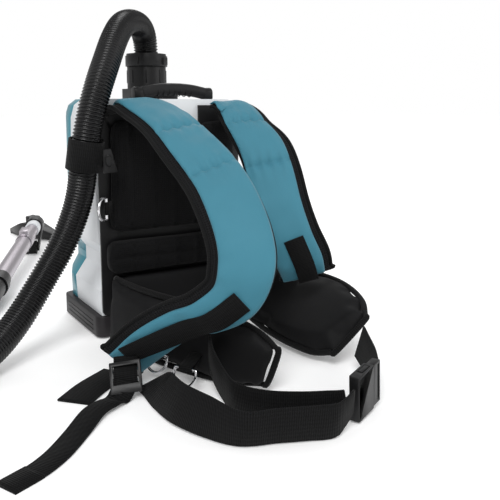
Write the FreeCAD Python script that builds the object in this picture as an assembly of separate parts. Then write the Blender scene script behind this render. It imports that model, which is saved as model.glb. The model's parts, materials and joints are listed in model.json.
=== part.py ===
"""Cordless backpack vacuum cleaner with its harness, hose and telescopic wand.

Millimetres, +Z up. The origin is on the floor under the middle of the housing.
-Y is the wearer's side, where the harness is, and +Y is the rear cover's side.
"""
import FreeCAD, Part
import math
import os

V = FreeCAD.Vector
X_AXIS = V(1, 0, 0)
Y_AXIS = V(0, 1, 0)
Z_AXIS = V(0, 0, 1)

# ---- driving dimensions -------------------------------------------------------------
WALL = 2.5
GAP = 0.4                    # play between bodies that move past each other
PIN_PLAY = 0.05              # radial running clearance of a hinge pin

BASE_HALF_W = 109.0
BASE_TOP = 30.0
FOOT_H = 2.0
FRONT_Y = -66.0              # front face of the housing, behind the harness
PARTING_Y = 34.0             # where the covers meet the main housing
REAR_Y = 74.0
HOUSING_TOP = 310.0
# half widths of the housing at each height: sloping shoulders and a hand waist
SIDE_PROFILE = [
    (30.4, 102), (64, 104), (87, 88), (106, 88), (126, 104), (200, 106), (285, 103), (302, 98), (310, 88),
]
REAR_CORNER = 16.0
COVER_SPLIT_Z = 97.0

INLET_X = 8.0
INLET_Y = 28.0
COLLAR_R = 27.5
COLLAR_TOP = 356.0
LOCK_RING_R = 29.7
LOCK_RING_TOP = 374.0

HOSE_R = 17.0
HOSE_BORE_R = 14.0
STRAP_W = 68.0
STRAP_T = 14.0
BELT_W = 38.0
BELT_T = 2.4
WEBBING_W = 25.0
WEBBING_T = 1.8

FAN_Z = 205.0
FAN_R = 40.0

# wand: far end of the sliding tube, and the way from there back to the grip
WAND_END = V(-37, 528, 49)
WAND_DIR = V(-0.3886, -0.9203, -0.0630)
OUTER_START = 75.0
OUTER_LENGTH = 270.0
OUTER_R = 14.0
OUTER_BORE_R = 12.6
INNER_R = 12.2
INNER_BORE_R = 10.8
INNER_LENGTH = 290.0
GRIP_LENGTH = 118.0
GRIP_R = 16.0

# the hose's route, from the inlet collar up, over, down its strap and round on the floor
HOSE_ROUTE = [
    (8, 28, 360), (8, 28, 391), (-5.2, 13.3, 411), (-31, -15, 413), (-56, -43.5, 405), (-76, -66, 383),
    (-92, -84, 357), (-108, -98, 328), (-123, -102, 286), (-129, -95.5, 240), (-131, -84, 190), (-148, -74, 138),
    (-179, -73, 90), (-213, -87, 48), (-254, -114, 21), (-308, -150, 17.5), (-372, -190, 17),
    (-446, -222, 17), (-528, -222, 17), (-594, -176, 17), (-618, -100, 17), (-582, -30, 17),
    (-512, -6, 17), (-446, -4, 18), (-382.44, 17.79, 19.86), (-343.24, 37.79, 19.86),
]


# ---- helpers --------------------------------------------------------------------------
def save(name, shape):
    shape.exportStep("parts/" + name + ".step")


def box(x0, x1, y0, y1, z0, z1):
    return Part.makeBox(x1 - x0, y1 - y0, z1 - z0, V(x0, y0, z0))


def rod(start, direction, radius, length):
    return Part.makeCylinder(radius, length, V(start), V(direction))


def pipe(start, direction, outer, bore, length):
    return rod(start, direction, outer, length).cut(rod(start, direction, bore, length))


def unit(vector):
    copy = V(vector)
    return copy.normalize()


def fused(shapes):
    return shapes[0].multiFuse(shapes[1:]).removeSplitter()


def fillet_along(shape, axis, radius):
    """Round every straight edge that runs along one axis."""
    edges = []
    for edge in shape.Edges:
        if isinstance(edge.Curve, Part.Line) and abs(abs(edge.Curve.Direction.dot(axis)) - 1) < 1e-6:
            edges.append(edge)
    return shape.makeFillet(radius, edges)


def slab(x0, x1, y0, y1, z0, z1, radius):
    """A flat pad lying in the XZ plane with rounded corners."""
    return fillet_along(box(x0, x1, y0, y1, z0, z1), Y_AXIS, radius)


def polygon_prism(points, direction):
    wire = Part.makePolygon([V(p) for p in points + points[:1]])
    return Part.Face(wire).extrude(direction)


def oriented_box(centre, along, across, length, width, height):
    """A box centred on a point: its length lies along one direction and its width across it."""
    a = unit(along)
    up = unit(a.cross(V(across)))
    b = unit(up.cross(a))
    corner = V(centre) - a * (length / 2) - b * (width / 2) - up * (height / 2)
    face = Part.Face(Part.makePolygon([
        corner, corner + a * length, corner + a * length + b * width, corner + b * width, corner]))
    return face.extrude(up * height)


def ribbon(stations, thickness, join=None):
    """A strap: each station is its centre, the direction of its width, and the width.

    A strap that turns by more than a right angle is lofted as two runs that meet at the
    station whose number is join.
    """
    sections = []
    for i, (centre, across, width) in enumerate(stations):
        before = V(stations[max(i - 1, 0)][0])
        after = V(stations[min(i + 1, len(stations) - 1)][0])
        tangent = unit(after - before)
        w = unit(V(across) - tangent * tangent.dot(V(across)))
        n = unit(tangent.cross(w))
        c = V(centre)
        corners = []
        for side, face in ((-1, -1), (1, -1), (1, 1), (-1, 1)):
            corners.append(c + w * (side * width / 2) + n * (face * thickness / 2))
        sections.append(Part.makePolygon(corners + corners[:1]))
    if join is None:
        return Part.makeLoft(sections, True, True)
    first = Part.makeLoft(sections[:join + 1], True, True)
    return first.fuse(Part.makeLoft(sections[join:], True, True))


def route_wire(points):
    """Straight runs joined by tangent arcs, each arc as large as its two runs allow."""
    p = [V(q) for q in points]
    edges = []
    radii = []
    last = p[0]
    for i in range(1, len(p) - 1):
        a = unit(p[i - 1] - p[i])
        b = unit(p[i + 1] - p[i])
        turn = math.pi - a.getAngle(b)
        cut = 0.45 * min((p[i] - p[i - 1]).Length, (p[i + 1] - p[i]).Length)
        radius = cut / math.tan(turn / 2)
        radii.append(radius)
        start = p[i] + a * cut
        end = p[i] + b * cut
        centre = p[i] + unit(a + b) * math.hypot(cut, radius)
        middle = centre + unit(p[i] - centre) * radius
        edges.append(Part.LineSegment(last, start).toShape())
        edges.append(Part.Arc(start, middle, end).toShape())
        last = end
    edges.append(Part.LineSegment(last, p[-1]).toShape())
    return Part.Wire(edges), radii


def swept_tube(points, outer, bore):
    wire, radii = route_wire(points)
    start = V(points[0])
    heading = unit(V(points[1]) - start)
    solids = []
    for radius in (outer, bore):
        ring = Part.Wire([Part.makeCircle(radius, start, heading)])
        solids.append(wire.makePipeShell([ring], True, True))
    return solids[0].cut(solids[1]), wire.Length, radii


# ---- housing ---------------------------------------------------------------------------
def half_width(z):
    """The housing's half width at a height, read from the side profile."""
    for (z0, w0), (z1, w1) in zip(SIDE_PROFILE, SIDE_PROFILE[1:]):
        if z <= z1:
            return w0 + (w1 - w0) * (z - z0) / (z1 - z0)
    return SIDE_PROFILE[-1][1]


def housing_outline(inset, z_low, z_high):
    """The housing's front view, with its waist, drawn in the XZ plane at Y = 0."""
    right = [(z_low, half_width(z_low) - inset)]
    for z, half in SIDE_PROFILE:
        if z_low + 1 < z < z_high - 1:
            right.append((z, half - inset))
    right.append((z_high, half_width(z_high) - inset))
    points = [V(half, 0, z) for z, half in right]
    points += [V(-half, 0, z) for z, half in reversed(right)]
    return Part.Face(Part.makePolygon(points + points[:1]))


def housing_block(inset, y0, y1, z_low, z_high):
    block = housing_outline(inset, z_low, z_high).extrude(Y_AXIS * (y1 - y0))
    block.translate(Y_AXIS * y0)
    return block


def rear_rounding(inset, z_low, z_high):
    """The plan shape that rounds the rear corners and leans the rear face in towards the top."""
    half = BASE_HALF_W + 10
    lean = 16.0
    side = [(z_low, REAR_Y), (190, REAR_Y), (250, REAR_Y - lean / 3), (z_high, REAR_Y - lean)]
    points = [V(-half, FRONT_Y - 5, z_low)] + [V(-half, y - inset, z) for z, y in side]
    points.append(V(-half, FRONT_Y - 5, z_high))
    return Part.Face(Part.makePolygon(points + points[:1])).extrude(X_AXIS * (2 * half))


def corner_cut(z_low, z_high):
    """Two upright prisms that shave the rear corners of the housing."""
    c = REAR_CORNER * 1.6
    tools = []
    for side in (-1, 1):
        x = side * (BASE_HALF_W + 12)
        tip = side * (SIDE_PROFILE[4][1] - c)
        tools.append(polygon_prism(
            [(x, REAR_Y - c, z_low), (side * SIDE_PROFILE[5][1], REAR_Y - c, z_low),
             (side * (SIDE_PROFILE[5][1] - c * 0.3), REAR_Y - c * 0.3, z_low),
             (tip, REAR_Y, z_low), (tip, REAR_Y + 8, z_low), (x, REAR_Y + 8, z_low)],
            Z_AXIS * (z_high - z_low)))
    return tools


def cover_shell(z_low, z_high):
    """A cover of the housing's own outline, open towards the main housing."""
    outer = housing_block(0, PARTING_Y + GAP, REAR_Y, z_low, z_high)
    outer = outer.common(rear_rounding(0, z_low - 1, HOUSING_TOP))
    for tool in corner_cut(z_low - 1, z_high + 1):
        outer = outer.cut(tool)
    inner = housing_block(WALL, PARTING_Y, REAR_Y - WALL, z_low + WALL, z_high - WALL)
    inner = inner.common(rear_rounding(WALL, z_low - 1, HOUSING_TOP))
    for tool in corner_cut(z_low - 1, z_high + 1):
        tool.translate(V(0, -WALL * 1.6, 0))
        inner = inner.cut(tool)
    return outer, inner


HANDLE_X = 8.0
HANDLE_HALF_W = 45.0
HANDLE_Y = -58.0
HANDLE_Z = 318.0
HANDLE_R = 8.0
RECESS_HALF_W = 38.0
RECESS_FLOOR = 284.0
RECESS_Y = (-49.0, -12.0)


def main_housing():
    outer = housing_block(0, FRONT_Y, PARTING_Y, BASE_TOP + GAP, HOUSING_TOP)
    cavity = housing_block(WALL, FRONT_Y + WALL, PARTING_Y + 1, BASE_TOP + GAP + WALL, HOUSING_TOP - WALL)
    left = HANDLE_X - RECESS_HALF_W
    right = HANDLE_X + RECESS_HALF_W
    pocket_walls = box(left - WALL, right + WALL, RECESS_Y[0] - WALL, RECESS_Y[1] + WALL,
                       RECESS_FLOOR - WALL, HOUSING_TOP - WALL)
    pocket = box(left, right, RECESS_Y[0], RECESS_Y[1], RECESS_FLOOR, HOUSING_TOP + 1)
    inlet = rod((INLET_X, INLET_Y, HOUSING_TOP - 10), Z_AXIS, COLLAR_R - WALL, 20)
    inlet_notch = box(INLET_X - 40, INLET_X + 40, INLET_Y - 32, PARTING_Y + 1,
                      HOUSING_TOP - WALL - 1, HOUSING_TOP + 1)
    shell = outer.cut(cavity.cut(pocket_walls)).cut(pocket).cut(inlet).cut(inlet_notch)
    for x, z in SCREW_SPOTS:
        shell = shell.cut(rod((x, FRONT_Y - 1, z), Y_AXIS, 3, WALL + 2))
    for z in HINGE_Z + (DOOR_HINGE_Z,):
        knuckle = rod((HINGE_X, HINGE_Y, z - 12), Z_AXIS, HINGE_R, 9.6)
        leaf = box(SIDE_PROFILE[6][1] - WALL, HINGE_X, PARTING_Y - 8, PARTING_Y, z - 12, z - 2.4)
        pin_hole = rod((HINGE_X, HINGE_Y, z - 13), Z_AXIS, HINGE_PIN_R, 12)
        shell = shell.fuse(knuckle.fuse(leaf).cut(pin_hole))
    return shell


HINGE_X = 110.5
HINGE_Y = 35.0
HINGE_R = 4.0
HINGE_PIN_R = 1.6
HINGE_Z = (165.0, 255.0)
DOOR_HINGE_Z = 56.0
LATCH_POCKET = (-84.0, -56.0, 196.0, 212.0)
SCREW_SPOTS = ((-80, 50), (80, 50), (-80, 268), (80, 268))


def with_knuckle(shell, z):
    """A cover with one hinge knuckle and its leaf added at a height."""
    knuckle = rod((HINGE_X, HINGE_Y, z - 2), Z_AXIS, HINGE_R, 10)
    leaf = box(SIDE_PROFILE[6][1] - WALL, HINGE_X, HINGE_Y + 0.8, HINGE_Y + 8, z - 2, z + 8)
    bore = rod((HINGE_X, HINGE_Y, z - 3), Z_AXIS, HINGE_PIN_R + PIN_PLAY, 12)
    return shell.fuse(knuckle.fuse(leaf).cut(bore))


def rear_cover():
    outer, inner = cover_shell(COVER_SPLIT_Z + GAP, HOUSING_TOP)
    notch = box(INLET_X - 40, INLET_X + 40, PARTING_Y - 1, INLET_Y + 36,
                HOUSING_TOP - WALL - 1, HOUSING_TOP + 1)
    shell = outer.cut(inner).cut(notch)
    x0, x1, z0, z1 = LATCH_POCKET
    shell = shell.cut(box(x0, x1, REAR_Y - 12, REAR_Y + 1, z0, z1))
    for z in HINGE_Z:
        shell = with_knuckle(shell, z)
    return shell


def hinge_pins():
    pins = [rod((HINGE_X, HINGE_Y, z - 12), Z_AXIS, HINGE_PIN_R, 20) for z in HINGE_Z + (DOOR_HINGE_Z,)]
    return Part.makeCompound(pins)


def cover_latch():
    x0, x1, z0, z1 = LATCH_POCKET
    plate = box(x0 + GAP, x1 - 6, REAR_Y - 9, REAR_Y + 1.2, z0 + GAP, z1 - GAP)
    ribs = [box(x0 + 5 + 4 * i, x0 + 7 + 4 * i, REAR_Y + 1, REAR_Y + 2.2, z0 + 2, z1 - 2) for i in range(4)]
    return fused([plate] + ribs)


def battery_cover():
    outer, inner = cover_shell(BASE_TOP + 1, COVER_SPLIT_Z)
    return with_knuckle(outer.cut(inner), DOOR_HINGE_Z)


def base_shell():
    body = fillet_along(box(-BASE_HALF_W, BASE_HALF_W, FRONT_Y - 3, REAR_Y + 4, FOOT_H, BASE_TOP), Z_AXIS, 12)
    hollow = box(-BASE_HALF_W + 6, BASE_HALF_W - 6, FRONT_Y + 4, REAR_Y - 6, FOOT_H + WALL, BASE_TOP - WALL)
    return body.cut(hollow)


def rubber_feet():
    feet = []
    for x in (-88, 88):
        for y in (-48, 56):
            feet.append(rod((x, y, 0), Z_AXIS, 8, FOOT_H))
    feet.append(rod((0, 0, 0), Z_AXIS, 14, FOOT_H))
    return Part.makeCompound(feet)


def battery(x0):
    pack = fillet_along(box(x0, x0 + 74, -20, 62, 40, 84), Y_AXIS, 5)
    rail = box(x0 + 12, x0 + 62, -20, 40, 84, 89)
    return pack.fuse(rail)


def terminal_block():
    plate = box(-84, 84, -30, -22, 38, 92)
    blades = [box(x, x + 1.2, -22, -20, 52, 74) for x in (-58, -48, -38, 38, 48, 58)]
    return fused([plate] + blades)


def motor():
    can = rod((0, -60, FAN_Z), Y_AXIS, 34, 36)
    bearing = rod((0, -24, FAN_Z), Y_AXIS, 9, 3)
    return can.fuse(bearing).cut(rod((0, -40, FAN_Z), Y_AXIS, 3 + PIN_PLAY, 25))


def motor_mount_ring():
    return pipe((0, -54, FAN_Z), Y_AXIS, 42, 34, 12)


def fan_impeller():
    shaft = rod((0, -34, FAN_Z), Y_AXIS, 3, 28)
    hub = rod((0, -19, FAN_Z), Y_AXIS, 9, 12)
    disc = rod((0, -19, FAN_Z), Y_AXIS, FAN_R, 2)
    blades = []
    for i in range(9):
        blade = box(8, FAN_R - 1, -17.2, -8, FAN_Z - 0.8, FAN_Z + 0.8)
        blade.rotate(V(22, 0, FAN_Z), Y_AXIS, 28)
        blade.rotate(V(0, 0, FAN_Z), Y_AXIS, i * 40)
        blades.append(blade)
    envelope = rod((0, -20, FAN_Z), Y_AXIS, FAN_R, 15)
    return fused([shaft, hub, disc] + [b.common(envelope) for b in blades])


def fan_housing():
    ring = pipe((0, -20.4, FAN_Z), Y_AXIS, FAN_R + 6, FAN_R + 2, 16)
    lip = pipe((0, -5.6, FAN_Z), Y_AXIS, FAN_R + 6, 22, 1.2)
    return ring.fuse(lip)


def inner_frame():
    plate = housing_block(WALL + 0.3, -4, -1, 104, 280)
    ring_hole = rod((0, -5, FAN_Z), Y_AXIS, 26, 6)
    shelf = box(-84, 84, -1, 32, 104, 107)
    return plate.cut(ring_hole).fuse(shelf)


def premotor_filter():
    frame = slab(-62, 62, -0.6, 11, FAN_Z - 62, FAN_Z + 62, 8)
    grooves = [box(-54 + 9 * i, -51 + 9 * i, 6, 12, FAN_Z - 54, FAN_Z + 54) for i in range(12)]
    for groove in grooves:
        frame = frame.cut(groove)
    return frame


def dust_bag():
    return slab(-72, 72, 16, 56, 122, 290, 22)


def control_board():
    board = box(-94, -52, -58, -56, 120, 180)
    chips = [box(-90 + 12 * i, -82 + 12 * i, -56, -50, 130 + 10 * i, 142 + 10 * i) for i in range(3)]
    return fused([board] + chips)


def housing_screws():
    return Part.makeCompound([rod((x, FRONT_Y + WALL, z), V(0, -1, 0), 3, 6.2) for x, z in SCREW_SPOTS])


# ---- inlet -----------------------------------------------------------------------------
def inlet_collar():
    flange = fillet_along(box(INLET_X - 30, INLET_X + 38, INLET_Y - 30, INLET_Y + 28,
                              HOUSING_TOP - WALL - 0.6, HOUSING_TOP + 15), Z_AXIS, 10)
    barrel = rod((INLET_X, INLET_Y, HOUSING_TOP - 8), Z_AXIS, COLLAR_R - WALL - 0.2, 8)
    upper = rod((INLET_X, INLET_Y, HOUSING_TOP), Z_AXIS, COLLAR_R, COLLAR_TOP - HOUSING_TOP)
    bore = rod((INLET_X, INLET_Y, HOUSING_TOP - 9), Z_AXIS, 21.5, 80)
    return fused([flange, barrel, upper]).cut(bore)


def inlet_seal():
    return pipe((INLET_X, INLET_Y, HOUSING_TOP - 8), Z_AXIS, 21.5, 17.5, 5)


def hose_cuff():
    sleeve = pipe((INLET_X, INLET_Y, HOUSING_TOP + 6), Z_AXIS, 21.0, HOSE_BORE_R,
                  LOCK_RING_TOP - HOUSING_TOP - 6)
    flange = pipe((INLET_X, INLET_Y, COLLAR_TOP + GAP), Z_AXIS, 24, HOSE_BORE_R, 3)
    seat = rod(HOSE_ROUTE[0], Z_AXIS, HOSE_R, 40)
    return sleeve.fuse(flange).cut(seat)


def hose_lock_ring():
    z0 = COLLAR_TOP + GAP
    ring = pipe((INLET_X, INLET_Y, z0), Z_AXIS, LOCK_RING_R, 24.4, LOCK_RING_TOP - z0 - 3)
    lid = pipe((INLET_X, INLET_Y, LOCK_RING_TOP - 3), Z_AXIS, LOCK_RING_R - 1.6, 21.4, 3)
    grips = []
    for i in range(4):
        grip = box(INLET_X + LOCK_RING_R - 1, INLET_X + LOCK_RING_R + 2.2,
                   INLET_Y - 5, INLET_Y + 5, z0 + 2, z0 + 12)
        grip.rotate(V(INLET_X, INLET_Y, z0), Z_AXIS, 90 * i + 35)
        grips.append(grip)
    return fused([ring, lid] + grips)


# ---- carry handle -----------------------------------------------------------------------
def carry_handle():
    """A round grip that arches a little above its two lugs."""
    half = [(HANDLE_HALF_W, HANDLE_Z), (28, HANDLE_Z + 3.5), (10, HANDLE_Z + 5)]
    arch = [(-x, z) for x, z in half] + half[::-1]
    points = [V(HANDLE_X + x, HANDLE_Y, z) for x, z in arch]
    wire, _ = route_wire(points)
    ring = Part.Wire([Part.makeCircle(HANDLE_R, points[0], unit(points[1] - points[0]))])
    return wire.makePipeShell([ring], True, True)


def handle_lugs():
    lugs = []
    for side in (-1, 1):
        x = HANDLE_X + side * (HANDLE_HALF_W + 4)
        foot = box(x - 8, x + 8, HANDLE_Y - 7.6, HANDLE_Y + 7.6, HOUSING_TOP, HANDLE_Z)
        cap = rod((x - 8, HANDLE_Y, HANDLE_Z), X_AXIS, 7.6, 16)
        lugs.append(foot.fuse(cap))
    grip_room = box(HANDLE_X - HANDLE_HALF_W + 1, HANDLE_X + HANDLE_HALF_W - 1, -80, -40, 300, 340)
    return Part.makeCompound(lugs).cut(grip_room)


# ---- harness -----------------------------------------------------------------------------
PLATE_T = 4.0
PAD_BACK = FRONT_Y - PLATE_T - 0.4


def back_plate():
    plate = slab(-102, 102, FRONT_Y - PLATE_T, FRONT_Y - 0.3, 31, 302, 7)
    upper_cut = slab(-6, 40, -90, -50, 270, 320, 10)
    for x, z in SCREW_SPOTS:
        plate = plate.cut(rod((x, FRONT_Y + 1, z), V(0, -1, 0), 3.4, 9))
    return plate.cut(upper_cut)


def back_pad():
    """The tall upper pad, notched at the top under the carry handle."""
    pad = slab(-96, 96, PAD_BACK - 16, PAD_BACK, 134, 285, 20)
    return pad.cut(slab(-8, 42, -100, -50, 266, 320, 10))


def lumbar_pad():
    return slab(-100, 98, PAD_BACK - 24, PAD_BACK, 88, 132, 12)


def lower_pad():
    return slab(-88, 84, PAD_BACK - 18, PAD_BACK, 36, 86, 14)


R_ACROSS = V(0.848, -0.530, 0)
LEFT_STRAP = [
    ((-60, -79, 296), X_AXIS, STRAP_W), ((-62, -92, 304), X_AXIS, STRAP_W),
    ((-54, -122, 295), V(0.98, -0.2, 0), STRAP_W), ((-47, -162, 279), V(0.95, -0.3, 0), STRAP_W),
    ((-45, -205, 257), V(0.9, -0.43, 0), STRAP_W), ((-40, -249, 229), R_ACROSS, STRAP_W),
    ((-41, -284, 203), R_ACROSS, STRAP_W), ((-43, -312, 171), R_ACROSS, STRAP_W),
    ((-46, -322, 143), V(0.84, -0.52, -0.1), STRAP_W), ((-54, -316, 113), V(0.80, -0.50, -0.3), 62),
    ((-73, -296, 93), V(0.786, -0.49, -0.37), 54), ((-92, -268, 79), V(0.786, -0.49, -0.37), 50),
    ((-113, -236, 53), V(0.82, -0.51, -0.25), 54), ((-132, -206, 22), V(0.84, -0.52, -0.1), 52),
]
RIGHT_STRAP = [
    ((62, -90, 300), X_AXIS, STRAP_W), ((70, -101, 301), V(0.99, -0.1, 0), STRAP_W),
    ((78, -116, 294), V(0.95, -0.2, -0.12), STRAP_W), ((77, -142, 276), V(0.93, -0.3, -0.1), STRAP_W),
    ((80, -172, 250), V(0.88, -0.46, 0), STRAP_W), ((79, -194, 220), R_ACROSS, STRAP_W),
    ((77, -216, 179), R_ACROSS, STRAP_W), ((83, -230, 142), R_ACROSS, STRAP_W),
    ((97, -232, 114), V(0.85, -0.52, 0.1), STRAP_W), ((111, -224, 90), V(0.85, -0.5, 0.15), 64),
]


def shoulder_webbing(stations, first, last, shift, end):
    """Narrow webbing lying on the outer face of a strap, a little above it, then on to its end."""
    lifted = []
    for i in range(first, last + 1):
        centre, across, _ = stations[i]
        tangent = unit(V(stations[min(i + 1, len(stations) - 1)][0]) - V(stations[i - 1][0]))
        normal = unit(tangent.cross(unit(across)))
        place = V(centre) + normal * WEBBING_LIFT + unit(across) * shift
        lifted.append((place, across, WEBBING_W))
    return ribbon(lifted + end, WEBBING_T)


WEBBING_LIFT = STRAP_T / 2 + WEBBING_T / 2 + 1.2
WEBBING_END = [((-135, -228, 37), R_ACROSS, WEBBING_W)]
TAIL = [
    ((-155, -254, 3.2), R_ACROSS, WEBBING_W), ((-166, -260, 4.4), R_ACROSS, WEBBING_W),
    ((-186, -272, 4.4), R_ACROSS, WEBBING_W), ((-212, -300, 1.6), R_ACROSS, WEBBING_W),
    ((-238, -328, 1.2), V(0.75, -0.66, 0), WEBBING_W), ((-262, -346, 1.2), V(0.62, -0.78, 0), WEBBING_W),
    ((-288, -358, 1.2), V(0.5, -0.86, 0), WEBBING_W),
]


def ladder_lock():
    """A flat frame with two cross bars that grips the webbing."""
    centre = V(-141, -244, 20)
    along = V(-0.17, -0.58, -0.8)
    frame = oriented_box(centre, along, R_ACROSS, 34, 33, 4)
    a = unit(along)
    for shift in (-9, 4):
        frame = frame.cut(oriented_box(centre + a * shift, along, R_ACROSS, 6.5, 26, 20))
    return frame


HIP_LEFT = [
    ((-96, -97, 50), V(0, 0, 1), 84), ((-90, -135, 46), V(0, 0, 1), 88), ((-80, -180, 45), V(0, 0, 1), 88),
    ((-64, -224, 44), V(0.04, 0, 1), 86), ((-44, -266, 42), V(0.06, 0, 1), 82),
    ((-22, -300, 36), V(0.06, 0, 1), 68), ((-8, -322, 28), V(0.06, 0, 1), 46),
]
HIP_RIGHT = [
    ((98, -98, 54), V(0.15, 0, 0.98), 84), ((112, -135, 48), V(0.5, 0.1, 0.86), 98),
    ((118, -180, 44), V(0.68, 0.2, 0.7), 108), ((120, -230, 42), V(0.74, 0.25, 0.62), 112),
    ((117, -275, 38), V(0.74, 0.25, 0.62), 96), ((112, -306, 36), V(0.72, 0.25, 0.64), 60),
]
HIP_T = 13.0
BELT_LEAN = V(-0.12, -0.2, 0.97)
BELT_UPPER = [
    ((-58, -274, 46), BELT_LEAN, BELT_W), ((-64, -293, 35), BELT_LEAN, BELT_W),
    ((-67, -320, 23), BELT_LEAN, BELT_W), ((-69, -350, 19), BELT_LEAN, BELT_W),
    ((-54, -378, 19), BELT_LEAN, BELT_W), ((-28, -398, 19), BELT_LEAN, BELT_W),
    ((-2, -412, 21), BELT_LEAN, 34), ((11, -418.5, 24), BELT_LEAN, 28),
]
BELT_FRONT = [
    ((12, -427, 27), BELT_LEAN, 28), ((-4, -434, 23), BELT_LEAN, 32), ((-18, -436, 19.5), BELT_LEAN, BELT_W),
    ((-42, -427, 19.5), BELT_LEAN, BELT_W), ((-68, -416, 19.5), BELT_LEAN, BELT_W),
    ((-97, -404, 19.5), BELT_LEAN, BELT_W), ((-113, -366, 20.3), V(0.2, 0.2, 0.94), BELT_W),
    ((-121, -328, 19.3), V(0.45, 0.2, 0.8), BELT_W), ((-118, -290, 15.6), V(0.6, 0.3, 0.6), BELT_W),
    ((-112, -262, 11.6), V(0.8, 0.3, 0.38), BELT_W), ((-110, -242, 8), V(0.9, 0.3, 0.2), BELT_W),
]
BELT_FOLD = [
    ((-128, -184, 1.5), V(-0.66, 0.75, 0), BELT_W), ((-165, -208, 1.5), V(-0.66, 0.75, 0), BELT_W),
    ((-194, -234, 1.5), V(-0.5, 0.86, 0), BELT_W),
]
BELT_RIGHT = [
    ((112, -322, 34), V(0.3, 0.1, 0.9), BELT_W), ((98, -348, 32), V(0.2, 0.05, 0.95), BELT_W),
    ((84, -374, 30), V(0.1, 0, 0.97), BELT_W), ((70, -396, 28), V(0, 0, 1), BELT_W),
]
BUCKLE_ALONG = V(-0.83, -0.36, -0.06)
BUCKLE_CENTRE = V(40, -411, 26)


def buckle_socket():
    body = oriented_box(BUCKLE_CENTRE - unit(BUCKLE_ALONG) * -6, BUCKLE_ALONG, Z_AXIS, 34, 46, 11)
    hollow = oriented_box(BUCKLE_CENTRE - unit(BUCKLE_ALONG) * 2, BUCKLE_ALONG, Z_AXIS, 42, 36, 6)
    slot = oriented_box(BUCKLE_CENTRE + unit(BUCKLE_ALONG) * 19, BUCKLE_ALONG, Z_AXIS, 4, 40, 20)
    windows = oriented_box(BUCKLE_CENTRE + unit(BUCKLE_ALONG) * 2, BUCKLE_ALONG, Z_AXIS, 17, 60, 6)
    return body.cut(hollow).cut(slot).cut(windows)


def buckle_prong():
    head = oriented_box(BUCKLE_CENTRE - unit(BUCKLE_ALONG) * 20, BUCKLE_ALONG, Z_AXIS, 16, 44, 9)
    slot = oriented_box(BUCKLE_CENTRE - unit(BUCKLE_ALONG) * 24, BUCKLE_ALONG, Z_AXIS, 4, 38, 20)
    tongue = oriented_box(BUCKLE_CENTRE - unit(BUCKLE_ALONG) * 4, BUCKLE_ALONG, Z_AXIS, 20, 8, 4)
    return head.cut(slot).fuse(tongue)


def buckle_tab(side):
    up = unit(unit(BUCKLE_ALONG).cross(unit(BUCKLE_ALONG).cross(Z_AXIS))) * -1
    centre = BUCKLE_CENTRE + unit(BUCKLE_ALONG) * 2 + up * (side * 19)
    return oriented_box(centre, BUCKLE_ALONG, Z_AXIS, 15, 9, 4.6)


def d_ring(centre, bar, bow, half):
    """A steel ring with a straight bar: bar is its direction, bow the way the curve points."""
    wire_r = 1.6
    b = unit(bar)
    w = unit(bow)
    c = V(centre)
    straight = rod(c - b * half, b, wire_r, 2 * half)
    centre_circle = c + w * (half * 0.5)
    rim = Part.Arc(c - b * half, centre_circle + w * half, c + b * half).toShape()
    path = Part.Wire([rim])
    start = c - b * half
    profile = Part.Wire([Part.makeCircle(wire_r, start, rim.tangentAt(rim.FirstParameter))])
    curve = path.makePipeShell([profile], True, True)
    balls = [Part.makeSphere(wire_r, c - b * half), Part.makeSphere(wire_r, c + b * half)]
    return fused([straight, curve] + balls)


RING_HALF = 13.0
SIDE_RING = (V(-103, -96, 176), Z_AXIS, V(-0.75, -0.66, 0))
LOW_RING_A = (V(-92, -218, 26), V(0.42, -0.91, 0), V(-0.35, -0.18, -0.92))
LOW_RING_B = (V(-82, -266, 24), V(0.48, -0.88, 0), V(-0.35, -0.18, -0.92))


def ring_loop(ring, back):
    """A folded web tab round a ring's bar, with a hole a little wider than the bar."""
    centre, bar, _ = ring
    b = unit(bar)
    sleeve = rod(centre - b * 8, b, 3.2, 16)
    tab = oriented_box(centre + V(back) / 2, V(back), b, V(back).Length, 16, 2.4)
    return sleeve.fuse(tab).cut(rod(centre - b * 9, b, 1.6 + PIN_PLAY, 18))


def ring_loops():
    side = ring_loop(SIDE_RING, V(9, 8, 0))
    low_a = ring_loop(LOW_RING_A, V(14, 6.4, 8))
    low_b = ring_loop(LOW_RING_B, V(19, 12, 9))
    return Part.makeCompound([side, low_a, low_b])


BAND_CENTRE = V(-127.6, -95.2, 243)


def hose_band():
    up = unit(V(0.11, -0.15, 1))
    ring = pipe(BAND_CENTRE - up * 18, up, HOSE_R + 4.2, HOSE_R + 2.4, 37)
    strap = box(-114, -99, -79, -76.6, 226, 262)
    return ring.fuse(strap)


def band_keeper():
    return oriented_box(V(-104, -112, 236), V(0.2, 0.2, -1), V(0.9, -0.4, 0), 32, 18, 3.5)


# ---- wand ---------------------------------------------------------------------------------
WAND = unit(WAND_DIR)
WAND_SIDE = unit(WAND.cross(Z_AXIS))


def on_wand(distance):
    return WAND_END + WAND * distance


GRIP_START = OUTER_START + OUTER_LENGTH
GRIP_END = on_wand(GRIP_START + GRIP_LENGTH)
CUFF_DIR = unit(V(-0.89, -0.454, 0))


def wand_outer_tube():
    return pipe(on_wand(OUTER_START), WAND, OUTER_R, OUTER_BORE_R, OUTER_LENGTH)


def wand_lock_sleeve():
    sleeve = pipe(on_wand(OUTER_START + 8), WAND, OUTER_R + 1.6, OUTER_R, 44)
    pad = oriented_box(on_wand(OUTER_START + 30) + Z_AXIS * (OUTER_R + 4), WAND, WAND_SIDE, 34, 16, 8)
    up = unit(WAND_SIDE.cross(WAND)) * -1
    pocket = oriented_box(on_wand(OUTER_START + 30) + up * (OUTER_R + 9), WAND, WAND_SIDE, 22, 10, 10)
    shape = sleeve.fuse(pad.cut(rod(on_wand(OUTER_START), WAND, OUTER_R, 80)))
    return shape.cut(pocket)


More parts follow.
